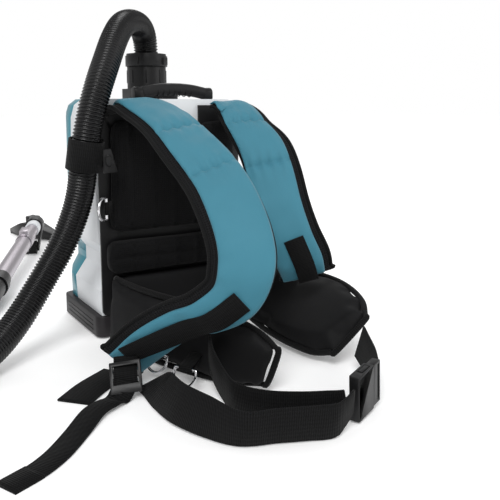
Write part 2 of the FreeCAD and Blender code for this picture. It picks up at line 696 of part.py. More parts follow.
def wand_lock_button():
    up = unit(WAND_SIDE.cross(WAND)) * -1
    return oriented_box(on_wand(OUTER_START + 28) + up * (OUTER_R + 7.2), WAND, WAND_SIDE, 14, 9.2, 5)


def wand_inner_tube():
    return pipe(on_wand(-SOCKET_LENGTH), WAND, INNER_R, INNER_BORE_R, INNER_LENGTH)


def wand_end_collar():
    return pipe(on_wand(-2), WAND, INNER_R + 2.2, INNER_R, 26)


def wand_handle():
    start = on_wand(GRIP_START)
    route = [start, GRIP_END - WAND * 30, GRIP_END + CUFF_DIR * 8, GRIP_END + CUFF_DIR * 62]
    wire, _ = route_wire(route)
    solids = []
    for radius in (GRIP_R, HOSE_BORE_R):
        ring = Part.Wire([Part.makeCircle(radius, start, unit(route[1] - route[0]))])
        solids.append(wire.makePipeShell([ring], True, True))
    return solids[0].cut(solids[1])


def suction_slider():
    return pipe(on_wand(GRIP_START + 20), WAND, GRIP_R + 2.4, GRIP_R + 0.4, 18)


def hose_end_cuff():
    return pipe(GRIP_END + CUFF_DIR * 62, CUFF_DIR, 19.0, HOSE_BORE_R, 80)


HEAD_LONG = unit(V(-0.392, 0.920, 0))
HEAD_BACK = unit(V(-0.920, -0.392, 0))
HEAD_CENTRE = V(-2, 671, 0)
HEAD_HALF_L = 88.0
HEAD_TOP = 34.0
WHEEL_CENTRE = V(-52, 497, 13.5)
WHEEL_R = 13.5
WHEEL_W = 24.0
AXLE_R = 2.5
SOCKET_LENGTH = 22.0
SOCKET_R = 17.5
SWIVEL_PIN_R = 4.0


def nozzle_neck():
    """Socket over the tube's end, a link that turns on the head's pin, and the wheel's fork."""
    socket = rod(on_wand(-2.4), WAND * -1, SOCKET_R, SOCKET_LENGTH + 8)
    elbow_at = on_wand(-10.4 - SOCKET_LENGTH)
    boss_at = HEAD_CENTRE + Z_AXIS * (HEAD_TOP + GAP + 8)
    link = rod(elbow_at, boss_at - elbow_at, 10, (boss_at - elbow_at).Length)
    boss = rod(HEAD_CENTRE + Z_AXIS * (HEAD_TOP + GAP), Z_AXIS, 16, 14)
    floor_side = box(-80, 60, 500, 760, 0, HEAD_TOP + GAP)
    fork = []
    reach = WHEEL_CENTRE - on_wand(-14)
    for side in (-1, 1):
        middle = (on_wand(-14) + WHEEL_CENTRE) * 0.5 + WAND_SIDE * (side * (WHEEL_W / 2 + 3))
        fork.append(oriented_box(middle, reach, WAND_SIDE, reach.Length + 10, 4, 12))
    axle = rod(WHEEL_CENTRE - WAND_SIDE * (WHEEL_W / 2 + 4), WAND_SIDE, AXLE_R, WHEEL_W + 8)
    shape = fused([socket, Part.makeSphere(SOCKET_R, elbow_at), link.cut(floor_side), boss, axle] + fork)
    shape = shape.cut(rod(on_wand(0), WAND * -1, INNER_R, SOCKET_LENGTH + 2.4))
    shape = shape.cut(rod(on_wand(80), WAND * -1, INNER_R + 3, 82))
    return shape.cut(rod(HEAD_CENTRE + Z_AXIS * HEAD_TOP, Z_AXIS, SWIVEL_PIN_R + PIN_PLAY, 12))


def nozzle_wheel():
    tyre = rod(WHEEL_CENTRE - WAND_SIDE * (WHEEL_W / 2), WAND_SIDE, WHEEL_R, WHEEL_W)
    return tyre.cut(rod(WHEEL_CENTRE - WAND_SIDE * WHEEL_W, WAND_SIDE, AXLE_R + PIN_PLAY, 2 * WHEEL_W))


def nozzle_head():
    """A wide head, highest in the middle, with the swivel pin on top and a sole below."""
    front = HEAD_CENTRE - HEAD_BACK * 16
    outline = []
    for along, z in ((-1, 3), (1, 3), (1, 11), (0.2, HEAD_TOP), (-0.2, HEAD_TOP), (-1, 11)):
        outline.append(front + HEAD_LONG * (along * HEAD_HALF_L) + Z_AXIS * z)
    hood = polygon_prism(outline, HEAD_BACK * 36)
    plan = []
    for along, back in ((-1, -17), (1, -17), (1, 0), (0.3, 21), (-0.3, 21), (-1, 0)):
        plan.append(HEAD_CENTRE + HEAD_LONG * (along * HEAD_HALF_L) + HEAD_BACK * back)
    hood = hood.common(polygon_prism(plan, Z_AXIS * 60))
    sole = oriented_box(HEAD_CENTRE - HEAD_BACK * 6 + Z_AXIS * 2, HEAD_LONG, HEAD_BACK,
                        2 * HEAD_HALF_L - 8, 16, 4)
    pin = rod(HEAD_CENTRE + Z_AXIS * 20, Z_AXIS, SWIVEL_PIN_R, HEAD_TOP - 10)
    return fused([hood, sole, pin])


def main():
    os.makedirs("parts", exist_ok=True)
    save("main_housing", main_housing())
    save("rear_cover", rear_cover())
    save("hinge_pins", hinge_pins())
    save("cover_latch", cover_latch())
    save("battery_cover", battery_cover())
    save("base_shell", base_shell())
    save("rubber_feet", rubber_feet())
    save("battery_left", battery(-82))
    save("battery_right", battery(8))
    save("terminal_block", terminal_block())
    save("motor", motor())
    save("motor_mount_ring", motor_mount_ring())
    save("fan_impeller", fan_impeller())
    save("fan_housing", fan_housing())
    save("inner_frame", inner_frame())
    save("premotor_filter", premotor_filter())
    save("dust_bag", dust_bag())
    save("control_board", control_board())
    save("housing_screws", housing_screws())
    save("inlet_collar", inlet_collar())
    save("inlet_seal", inlet_seal())
    save("hose_cuff", hose_cuff())
    save("hose_lock_ring", hose_lock_ring())
    save("carry_handle", carry_handle())
    save("handle_lugs", handle_lugs())
    save("back_plate", back_plate())
    save("back_pad", back_pad())
    save("lumbar_pad", lumbar_pad())
    save("lower_pad", lower_pad())
    save("shoulder_strap_left", ribbon(LEFT_STRAP, STRAP_T))
    save("shoulder_strap_right", ribbon(RIGHT_STRAP, STRAP_T))
    save("shoulder_webbing_left", shoulder_webbing(LEFT_STRAP, 9, 11, 11, WEBBING_END))
    save("shoulder_webbing_right", shoulder_webbing(RIGHT_STRAP, 7, 9, 0, []))
    save("webbing_tail", ribbon(TAIL, WEBBING_T))
    save("ladder_lock", ladder_lock())
    save("hip_pad_left", ribbon(HIP_LEFT, HIP_T))
    save("hip_pad_right", ribbon(HIP_RIGHT, HIP_T))
    save("belt_upper", ribbon(BELT_UPPER, BELT_T))
    save("belt_front", Part.makeCompound([ribbon(BELT_FRONT, BELT_T, join=5), ribbon(BELT_FOLD, BELT_T)]))
    save("belt_right", ribbon(BELT_RIGHT, BELT_T))
    save("buckle_socket", buckle_socket())
    save("buckle_prong", buckle_prong())
    save("buckle_tab_upper", buckle_tab(1))
    save("buckle_tab_lower", buckle_tab(-1))
    save("side_ring", d_ring(*SIDE_RING, RING_HALF))
    save("low_ring_rear", d_ring(*LOW_RING_A, RING_HALF))
    save("low_ring_front", d_ring(*LOW_RING_B, RING_HALF))
    save("ring_loops", ring_loops())
    save("hose_band", Part.makeCompound([hose_band(), band_keeper()]))
    hose, length, radii = swept_tube(HOSE_ROUTE, HOSE_R, HOSE_BORE_R)
    area = math.pi * (HOSE_R ** 2 - HOSE_BORE_R ** 2)
    print("hose length", round(length, 1))
    print("hose volume over section times length", round(hose.Volume / area / length, 4))
    print("hose arc radii", [round(r) for r in radii])
    save("hose", hose)
    save("hose_end_cuff", hose_end_cuff())
    save("wand_handle", wand_handle())
    save("suction_slider", suction_slider())
    save("wand_outer_tube", wand_outer_tube())
    save("wand_lock_sleeve", wand_lock_sleeve())
    save("wand_lock_button", wand_lock_button())
    save("wand_inner_tube", wand_inner_tube().fuse(wand_end_collar()))
    save("nozzle_neck", nozzle_neck())
    save("nozzle_wheel", nozzle_wheel())
    save("nozzle_head", nozzle_head())


main()
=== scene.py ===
"""Looks of the backpack vacuum cleaner: harness, hose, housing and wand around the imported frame."""
import json
import math

import bmesh
import bpy
import numpy as np
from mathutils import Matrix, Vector

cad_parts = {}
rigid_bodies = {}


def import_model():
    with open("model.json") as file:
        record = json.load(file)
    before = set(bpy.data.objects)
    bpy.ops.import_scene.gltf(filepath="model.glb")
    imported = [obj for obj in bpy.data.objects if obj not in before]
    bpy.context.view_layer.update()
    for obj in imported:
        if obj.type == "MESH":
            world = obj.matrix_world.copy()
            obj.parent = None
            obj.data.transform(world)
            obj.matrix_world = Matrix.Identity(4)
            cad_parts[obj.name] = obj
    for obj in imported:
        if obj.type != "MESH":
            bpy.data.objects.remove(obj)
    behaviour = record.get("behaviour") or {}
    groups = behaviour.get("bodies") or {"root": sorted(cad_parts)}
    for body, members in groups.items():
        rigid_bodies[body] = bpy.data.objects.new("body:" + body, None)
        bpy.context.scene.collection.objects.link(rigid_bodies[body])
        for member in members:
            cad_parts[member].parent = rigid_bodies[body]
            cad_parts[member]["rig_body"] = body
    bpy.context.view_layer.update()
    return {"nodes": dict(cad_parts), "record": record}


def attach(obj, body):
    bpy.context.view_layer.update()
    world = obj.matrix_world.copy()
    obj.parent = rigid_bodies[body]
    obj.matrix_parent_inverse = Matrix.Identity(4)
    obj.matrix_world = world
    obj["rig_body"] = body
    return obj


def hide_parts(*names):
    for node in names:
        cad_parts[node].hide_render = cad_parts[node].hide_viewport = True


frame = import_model()
RECORD = frame["record"]
MM = 0.001
ROOT = "machine"


# ---- places shared with the CAD, in millimetres -------------------------------------
INLET = (8, 28)
HANDLE_AT = (8, -58, 322.2)
WAND_END = Vector((-37, 528, 49))
WAND_DIR = Vector((-0.3886, -0.9203, -0.0630)).normalized()
BAND_CENTRE = (-127.6, -95.2, 243)
LOCK_CENTRE = (-141, -244, 20)
LOCK_ALONG = (-0.17, -0.58, -0.8)
# each ring tab's middle, the direction of the ring's bar through it, and how far its ends reach back
RINGS = {
    "side": ((-103, -96, 176), (0, 0, 1), (9, 8, 0)),
    "rear": ((-92, -218, 26), (0.42, -0.91, 0), (14, 6.4, 8)),
    "front": ((-82, -266, 24), (0.48, -0.88, 0), (19, 12, 9)),
}


# ---- camera -------------------------------------------------------------------------
CAMERA_AT = (-0.3859, -0.8782, 0.3028)
CAMERA_HEADING = math.radians(-32.14)
CAMERA_PITCH = math.radians(8.13)
LENS = 48.14
SHIFT_Y = -0.10


def add_camera():
    data = bpy.data.cameras.new("camera")
    data.lens = LENS
    data.sensor_width = 36.0
    data.shift_y = SHIFT_Y
    cam = bpy.data.objects.new("camera", data)
    cam.location = CAMERA_AT
    cam.rotation_euler = (math.radians(90) - CAMERA_PITCH, 0, CAMERA_HEADING)
    bpy.context.scene.collection.objects.link(cam)
    bpy.context.scene.camera = cam


# ---- mesh helpers ---------------------------------------------------------------------
SHARP_FROM = 40       # degrees between faces that shade as an edge
BEVEL_FROM = 32       # degrees between faces that get a bevel


def new_object(name, verts, faces, uvs=None, smooth=True):
    """A mesh object from points in metres; uvs holds one (u, v) for each corner of each face."""
    mesh = bpy.data.meshes.new(name)
    mesh.from_pydata([tuple(v) for v in verts], [], faces)
    if uvs is not None:
        layer = mesh.uv_layers.new(name="UVMap")
        flat = [c for face in uvs for uv in face for c in uv]
        layer.data.foreach_set("uv", flat)
    mesh.polygons.foreach_set("use_smooth", [smooth] * len(mesh.polygons))
    mesh.update()
    obj = bpy.data.objects.new(name, mesh)
    bpy.context.scene.collection.objects.link(obj)
    return obj


def set_material(obj, material):
    obj.data.materials.clear()
    obj.data.materials.append(material)


def sharp_by_angle(mesh):
    mesh.polygons.foreach_set("use_smooth", [True] * len(mesh.polygons))
    mesh.set_sharp_from_angle(angle=math.radians(SHARP_FROM))


def smooth_curve(points, step):
    """Catmull-Rom through rows of numbers, resampled evenly; the first three columns are the place."""
    p = np.array(points, float)
    p = np.vstack([2 * p[0] - p[1], p, 2 * p[-1] - p[-2]])
    rows = []
    for i in range(1, len(p) - 2):
        for t in np.linspace(0, 1, 24, endpoint=False):
            a, b, c, d = p[i - 1], p[i], p[i + 1], p[i + 2]
            rows.append(0.5 * (2 * b + (c - a) * t + (2 * a - 5 * b + 4 * c - d) * t ** 2
                               + (3 * b - a - 3 * c + d) * t ** 3))
    rows.append(p[-2])
    rows = np.array(rows)
    gaps = np.linalg.norm(np.diff(rows[:, :3], axis=0), axis=1)
    along = np.concatenate([[0], np.cumsum(gaps)])
    count = max(4, int(round(along[-1] / step)) + 1)
    want = np.linspace(0, along[-1], count)
    out = np.stack([np.interp(want, along, rows[:, k]) for k in range(rows.shape[1])], axis=1)
    return out, want


def frames_along(stations, step):
    """Centres, width directions, outward normals and half widths along a strap, in metres."""
    rows = []
    for place, way, width in stations:
        rows.append(list(Vector(place) * MM) + list(Vector(way).normalized()) + [width * MM / 2])
    out, along = smooth_curve(rows, step)
    centre = out[:, :3]
    tangent = np.gradient(centre, axis=0)
    tangent /= np.linalg.norm(tangent, axis=1)[:, None]
    across = out[:, 3:6] - tangent * np.sum(out[:, 3:6] * tangent, axis=1)[:, None]
    across /= np.linalg.norm(across, axis=1)[:, None]
    normal = np.cross(tangent, across)
    return centre, across, normal, out[:, 6], along


def skin(rows, around):
    """Faces over rings of points: the quads between them, then a cap at each end."""
    faces = []
    for i in range(rows - 1):
        for j in range(around):
            k = (j + 1) % around
            faces.append((i * around + j, i * around + k, (i + 1) * around + k, (i + 1) * around + j))
    last = (rows - 1) * around
    faces.append(tuple(range(around))[::-1])
    faces.append(tuple(range(last, last + around)))
    return faces


def skin_uvs(girth, along):
    """The corners of a skin's quads in metres: distances round the outline, and distances along."""
    uvs = []
    for v0, v1 in zip(along, along[1:]):
        for u0, u1 in zip(girth, girth[1:]):
            uvs.append(((u0, v0), (u1, v0), (u1, v1), (u0, v1)))
    return uvs


def strip(name, stations, step, section):
    """A closed strip: section(s, total, half) gives (across, out) pairs round its outline at a distance s."""
    centre, across, normal, half, along = frames_along(stations, step)
    rings = []
    for i in range(len(centre)):
        ring = section(along[i], along[-1], half[i])
        rings.append([centre[i] + across[i] * a + normal[i] * b for a, b in ring])
    around = len(rings[0])
    verts = [p for ring in rings for p in ring]
    middle = len(along) // 2
    outline = section(along[middle], along[-1], half[middle])
    sides = np.diff(np.array(outline + outline[:1]), axis=0)
    girth = np.concatenate([[0], np.cumsum(np.linalg.norm(sides, axis=1))])
    end = tuple((u, 0.0) for u in girth[:-1])
    uvs = skin_uvs(girth, along) + [end[::-1], end]
    return new_object(name, verts, skin(len(rings), around), uvs)


def refine(node, width, material):
    """A CAD node's own shape with its edges softened by a width in millimetres, shown in its place."""
    source = frame["nodes"][node]
    mesh = source.data.copy()
    bm = bmesh.new()
    bm.from_mesh(mesh)
    bmesh.ops.remove_doubles(bm, verts=bm.verts, dist=1e-6)
    bmesh.ops.dissolve_limit(bm, angle_limit=math.radians(2), verts=bm.verts, edges=bm.edges)
    bm.to_mesh(mesh)
    bm.free()
    obj = bpy.data.objects.new(node + "_shell", mesh)
    bpy.context.scene.collection.objects.link(obj)
    bevel = obj.modifiers.new("edge", "BEVEL")
    bevel.width = width * MM
    bevel.segments = 2
    bevel.limit_method = "ANGLE"
    bevel.angle_limit = math.radians(BEVEL_FROM)
    bevel.use_clamp_overlap = True
    apply_modifiers(obj)
    sharp_by_angle(obj.data)
    set_material(obj, material)
    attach(obj, source["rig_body"])
    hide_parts(node)


def apply_modifiers(obj):
    depsgraph = bpy.context.evaluated_depsgraph_get()
    bpy.context.view_layer.update()
    mesh = bpy.data.meshes.new_from_object(obj.evaluated_get(depsgraph))
    obj.modifiers.clear()
    obj.data = mesh


def smooth_node(node, material):
    """A CAD node shown as it is, with smooth shading over its curved faces."""
    obj = frame["nodes"][node]
    sharp_by_angle(obj.data)
    set_material(obj, material)


def dress(obj, material, node, body=ROOT):
    """Give a piece its material and body, and hide the CAD node it stands for if it has one."""
    set_material(obj, MATERIALS[material])
    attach(obj, body)
    if node:
        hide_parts(node)


# ---- materials ---------------------------------------------------------------------------
class Paint:
    """A material being built: the shader, and short ways to add nodes to it."""

    def __init__(self, name):
        self.material = bpy.data.materials.new(name)
        self.material.use_nodes = True
        self.tree = self.material.node_tree
        self.shader = self.tree.nodes["Principled BSDF"]

    def node(self, kind, settings=None, **sockets):
        made = self.tree.nodes.new("ShaderNode" + kind)
        for key, value in (settings or {}).items():
            setattr(made, key, value)
        for key, value in sockets.items():
            self.feed(made.inputs[key.replace("_", " ")], value)
        return made

    def feed(self, socket, value):
        if isinstance(value, bpy.types.NodeSocket):
            self.tree.links.new(value, socket)
        else:
            socket.default_value = value

    def set(self, **sockets):
        for key, value in sockets.items():
            self.feed(self.shader.inputs[key.replace("_", " ")], value)

    def place(self, uv=False):
        return self.node("TexCoord").outputs["UV" if uv else "Object"]

    def maths(self, operation, a, b):
        made = self.node("Math", {"operation": operation})
        self.feed(made.inputs[0], a)
        self.feed(made.inputs[1], b)
        return made.outputs[0]

    def mix(self, factor, a, b):
        made = self.node("Mix", {"data_type": "RGBA"})
        self.feed(made.inputs[0], factor)
        self.feed(made.inputs[6], a)
        self.feed(made.inputs[7], b)
        return made.outputs[2]

    def ramp(self, value, low, high):
        made = self.node("MapRange")
        self.feed(made.inputs[0], value)
        self.feed(made.inputs[1], low)
        self.feed(made.inputs[2], high)
        return made.outputs[0]

    def noise(self, where, scale, detail=3.0):
        return self.node("TexNoise", Vector=where, Scale=scale, Detail=detail).outputs[0]

    def bump(self, height, distance):
        return self.node("Bump", Height=height, Distance=distance, Strength=1.0).outputs[0]


def rgb(r, g, b):
    return (r, g, b, 1.0)


def darker(colour, share):
    """A colour with a share of its light taken off."""
    return tuple(c * (1 - share) for c in colour[:3]) + (1.0,)


def plastic(name, colour, rough, grain=900.0, depth=0.00006, vary=0.12, coat=0.0, shine=0.5):
    p = Paint(name)
    where = p.place()
    patch = p.noise(where, 22.0)
    p.set(Base_Color=p.mix(patch, darker(colour, vary), colour),
          Roughness=p.maths("ADD", rough - 0.06, p.maths("MULTIPLY", p.noise(where, 60.0), 0.12)),
          Normal=p.bump(p.noise(where, grain, 2.0), depth), Coat_Weight=coat, Specular_IOR_Level=shine)
    return p.material


def metal(name, colour, rough, brushed):
    p = Paint(name)
    where = p.place()
    streak = p.noise(where, 160.0 if brushed else 40.0, 4.0)
    p.set(Base_Color=p.mix(streak, darker(colour, 0.12), colour), Metallic=1.0,
          Roughness=p.maths("ADD", rough - 0.05, p.maths("MULTIPLY", streak, 0.1)),
          Normal=p.bump(p.noise(where, 1400.0, 2.0), 0.00002))
    return p.material


def woven(name, colour, thread_gap_shade, pitch, depth, rough=0.85, sheen=0.25, ribs_only=False, shine=0.12):
    """Cloth or webbing woven on UVs in metres: threads across and along at the pitch given."""
    p = Paint(name)
    uv = p.place(uv=True)
    parts = p.node("SeparateXYZ", Vector=uv)
    turn = 2 * math.pi / pitch
    turn_across = turn * (0.5 if ribs_only else 1.0)
    across = p.maths("SINE", p.maths("MULTIPLY", parts.outputs[0], turn_across), 0.0)
    rows = p.maths("SINE", p.maths("MULTIPLY", parts.outputs[1], turn), 0.0)
    if ribs_only:
        threads = p.maths("ADD", rows, p.maths("MULTIPLY", across, 0.35))
    else:
        threads = p.maths("MULTIPLY", across, rows)
    height = p.ramp(threads, -1.2, 1.2)
    blotch = p.noise(p.place(), 35.0)
    cloth = p.mix(blotch, darker(colour, 0.18), colour)
    # the low gaps between the threads take the darker colour: painted shade in the weave's grooves
    p.set(Base_Color=p.mix(height, thread_gap_shade, cloth), Roughness=rough, Sheen_Weight=sheen, Sheen_Roughness=0.4,
          Specular_IOR_Level=shine, Normal=p.bump(height, depth))
    return p.material


def spacer_mesh(name, thread, hole_shade, cell, depth, uv):
    """Knitted spacer mesh: small round holes in a thick black knit, with painted shade darkening the holes.
    """
    p = Paint(name)
    where = p.place(uv=uv)
    cells = p.node("TexVoronoi", {"feature": "F1"}, Vector=where, Scale=1.0 / cell, Randomness=0.15)
    knit = p.ramp(cells.outputs["Distance"], 0.18, 0.42)
    blotch = p.noise(p.place(), 40.0)
    yarn = p.mix(blotch, darker(thread, 0.4), thread)
    # the holes take a near-black colour: painted shade in their depth
    p.set(Base_Color=p.mix(knit, hole_shade, yarn), Roughness=0.88, Sheen_Weight=0.04, Sheen_Roughness=0.45,
          Specular_IOR_Level=0.12, Normal=p.bump(knit, depth))
    return p.material


MATERIALS = {}
# colour, roughness and the settings that differ from plastic()'s own
PLASTICS = {
    "white_plastic": ((0.70, 0.72, 0.74), 0.38, {"vary": 0.05}),
    "teal_plastic": ((0.012, 0.19, 0.25), 0.32, {"coat": 0.2}),
    "grey_plastic": ((0.20, 0.19, 0.20), 0.42, {}),
    "dark_plastic": ((0.0055, 0.0055, 0.006), 0.40, {"shine": 0.30}),
    "base_plastic": ((0.013, 0.011, 0.0125), 0.46, {"shine": 0.3}),
    "rubber": ((0.008, 0.008, 0.008), 0.75, {"grain": 500.0, "shine": 0.2}),
    "soft_grip": ((0.007, 0.007, 0.0075), 0.5, {"grain": 420.0, "depth": 0.0003, "shine": 0.3}),
    "filter_paper": ((0.75, 0.73, 0.66), 0.9, {"grain": 260.0, "depth": 0.0004}),
    "circuit_board": ((0.02, 0.14, 0.05), 0.4, {}),
    "hose_plastic": ((0.0035, 0.0035, 0.004), 0.26, {"shine": 0.35}),
    "black_cloth": ((0.0065, 0.0065, 0.007), 0.7, {"grain": 1500.0, "depth": 0.00012, "shine": 0.15}),
}
METALS = {
    "steel": ((0.78, 0.78, 0.80), 0.16, False),
    "wand_metal": ((0.42, 0.39, 0.42), 0.36, True),
}
# colour, painted shade between the threads, pitch and depth of the weave, and woven()'s settings
CLOTHS = {
    "teal_fabric": ((0.062, 0.245, 0.330), (0.035, 0.16, 0.22), 0.0009, 0.00012,
                    {"rough": 0.62, "sheen": 0.12, "shine": 0.25}),
    "webbing": ((0.0085, 0.0085, 0.009), (0.002, 0.002, 0.002), 0.0021, 0.0004,
                {"rough": 0.8, "sheen": 0.03, "ribs_only": True}),
    "binding": ((0.008, 0.008, 0.0085), (0.003, 0.003, 0.003), 0.0024, 0.0004,
                {"rough": 0.75, "sheen": 0.05, "ribs_only": True}),
}
# colour of the knit and the painted shade in its holes, cell size, depth, and whether it lies on the piece's
# own UVs
MESHES = {
    "black_mesh": ((0.011, 0.011, 0.012), (0.0015, 0.0015, 0.0015), 0.0030, 0.0007, True),
    "black_knit": ((0.0065, 0.0065, 0.007), (0.0015, 0.0015, 0.0015), 0.0026, 0.0004, False),
}


def make_materials():
    for name, (colour, rough, settings) in PLASTICS.items():
        MATERIALS[name] = plastic(name, rgb(*colour), rough, **settings)
    for name, (colour, rough, brushed) in METALS.items():
        MATERIALS[name] = metal(name, rgb(*colour), rough, brushed)
    for name, (colour, thread_gap_shade, pitch, depth, settings) in CLOTHS.items():
        MATERIALS[name] = woven(name, rgb(*colour), rgb(*thread_gap_shade), pitch, depth, **settings)
    for name, (thread, hole_shade, cell, depth, uv) in MESHES.items():
        MATERIALS[name] = spacer_mesh(name, rgb(*thread), rgb(*hole_shade), cell, depth, uv)


# ---- hose ----------------------------------------------------------------------------------
HOSE_ROUTE = [
    (8, 28, 360), (8, 28, 391), (-5.2, 13.3, 411), (-31, -15, 413), (-56, -43.5, 405), (-76, -66, 383),
    (-92, -84, 357), (-108, -98, 328), (-123, -102, 286), (-129, -95.5, 240), (-131, -84, 190),
    (-148, -74, 138), (-179, -73, 90), (-213, -87, 48), (-254, -114, 21), (-308, -150, 17.5),
    (-372, -190, 17),
    (-446, -222, 17), (-528, -222, 17), (-594, -176, 17), (-618, -100, 17), (-582, -30, 17),
    (-512, -6, 17), (-446, -4, 18), (-382.44, 17.79, 19.86), (-343.24, 37.79, 19.86),
]
HOSE_R = 0.0170
RIB_PITCH = 0.0040
RIB_DEPTH = 0.0021
PLAIN_END = 0.002      # length without ribs at each end


def hose_line():
    """The hose's centreline, read from a spline through the same points as the CAD route."""
    data = bpy.data.curves.new("hose_line", "CURVE")
    data.dimensions = "3D"
    spline = data.splines.new("NURBS")
    spline.points.add(len(HOSE_ROUTE) - 1)
    for point, place in zip(spline.points, HOSE_ROUTE):
        point.co = (place[0] * MM, place[1] * MM, place[2] * MM, 1.0)
    spline.order_u = 3
    spline.use_endpoint_u = True
    spline.resolution_u = 16
    guide = bpy.data.objects.new("hose_line", data)
    bpy.context.scene.collection.objects.link(guide)
    bpy.context.view_layer.update()
    mesh = bpy.data.meshes.new_from_object(guide)
    points = np.array([v.co[:] for v in mesh.vertices])
    bpy.data.objects.remove(guide)
    return points


def tube_frames(points, step):
    """Even points along a line, two directions square to it that don't twist, and distances along it."""
    gaps = np.linalg.norm(np.diff(points, axis=0), axis=1)
    along = np.concatenate([[0], np.cumsum(gaps)])
    count = int(round(along[-1] / step)) + 1
    want = np.linspace(0, along[-1], count)
    line = np.stack([np.interp(want, along, points[:, k]) for k in range(3)], axis=1)
    kernel = np.ones(9) / 9
    padded = np.vstack([np.repeat(line[:1], 4, 0), line, np.repeat(line[-1:], 4, 0)])
    soft = np.stack([np.convolve(padded[:, k], kernel, "valid") for k in range(3)], axis=1)
    tangent = np.gradient(soft, axis=0)
    tangent /= np.linalg.norm(tangent, axis=1)[:, None]
    side = np.zeros_like(tangent)
    side[0] = np.cross(tangent[0], (0.31, 0.95, 0.02))
    side[0] /= np.linalg.norm(side[0])
    for i in range(1, len(tangent)):
        s = side[i - 1] - tangent[i] * np.dot(side[i - 1], tangent[i])
        side[i] = s / np.linalg.norm(s)
    return line, side, np.cross(tangent, side), want


def around_line(angles, side, other):
    """Unit arrows out from each point of a line, at each angle round it."""
    angles = angles[None, :, None]
    return np.cos(angles) * side[:, None, :] + np.sin(angles) * other[:, None, :]


def make_hose():
    """The corrugated hose, from the inlet's lock ring to its end cuff on the wand."""
    line, side, other, along = tube_frames(hose_line(), RIB_PITCH / 6)
    around = 36
    angles = np.linspace(0, 2 * math.pi, around, endpoint=False)
    phase = 0.5 + 0.5 * np.cos(2 * math.pi * along / RIB_PITCH)
    radius = HOSE_R - RIB_DEPTH * (1 - phase ** 0.6)
    plain = np.minimum(along, along[-1] - along) < PLAIN_END
    radius[plain] = HOSE_R - RIB_DEPTH
    ring = around_line(angles, side, other)
    verts = (line[:, None, :] + ring * radius[:, None, None]).reshape(-1, 3)
    hose = new_object("ribbed_hose", verts, skin(len(line), around))
    set_material(hose, MATERIALS["hose_plastic"])
    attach(hose, ROOT)
    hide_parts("hose")


# ---- straps ---------------------------------------------------------------------------------
R_ACROSS = (0.848, -0.530, 0)
STRAP_W = 68
UNDERPAD_DROP = 0.0070      # thickness of the mesh below the strap's middle, in metres
COVER_RISE = 0.0072         # height of the quilted cover above it
BOUND_EDGE = 0.0095         # width of mesh left bare along one edge
SEAM_DEPTH = 0.7            # how much of the cover's height a seam takes
SEAM_REACH = 0.0042         # how fast the cover rises beside it
PUCKER_REACH = 0.012
PUCKER_HEIGHT = 0.0015
PUCKER_PITCH = 0.013
LEFT_STRAP = [
    ((-60, -79, 296), (1, 0, 0), STRAP_W), ((-62, -92, 304), (1, 0, 0), STRAP_W),
    ((-54, -122, 295), (0.98, -0.2, 0), STRAP_W), ((-47, -162, 279), (0.95, -0.3, 0), STRAP_W),
    ((-45, -205, 257), (0.9, -0.43, 0), STRAP_W), ((-40, -249, 229), R_ACROSS, STRAP_W),
    ((-41, -284, 203), R_ACROSS, STRAP_W), ((-43, -312, 171), R_ACROSS, STRAP_W),
    ((-46, -322, 143), (0.84, -0.52, -0.1), STRAP_W), ((-54, -316, 113), (0.80, -0.50, -0.3), 62),
    ((-73, -296, 93), (0.786, -0.49, -0.37), 54), ((-92, -268, 79), (0.786, -0.49, -0.37), 50),
    ((-113, -236, 53), (0.82, -0.51, -0.25), 54), ((-132, -206, 22), (0.84, -0.52, -0.1), 52),
]
RIGHT_STRAP = [
    ((62, -90, 300), (1, 0, 0), STRAP_W), ((70, -101, 301), (0.99, -0.1, 0), STRAP_W),
    ((78, -116, 294), (0.95, -0.2, -0.12), STRAP_W), ((77, -142, 276), (0.93, -0.3, -0.1), STRAP_W),
    ((80, -172, 250), (0.88, -0.46, 0), STRAP_W), ((79, -194, 220), R_ACROSS, STRAP_W),
    ((77, -216, 179), R_ACROSS, STRAP_W), ((83, -230, 142), R_ACROSS, STRAP_W),
    ((97, -232, 114), (0.85, -0.52, 0.1), STRAP_W), ((111, -224, 90), (0.85, -0.5, 0.15), 64),
]


def rounded(half, low, high, lean=2.2, count=10):
    """Outline of a soft strip: flat below, crowned above, round at both edges."""
    ring = []
    for t in np.linspace(-1, 1, count):
        ring.append((t * half * 0.96, low))
    for t in np.linspace(1, -1, 2 * count):
        crown = (1 - abs(t) ** lean) ** 0.55
        ring.append((t * half, low + 0.30 * (high - low) + 0.70 * (high - low) * crown))
    return ring


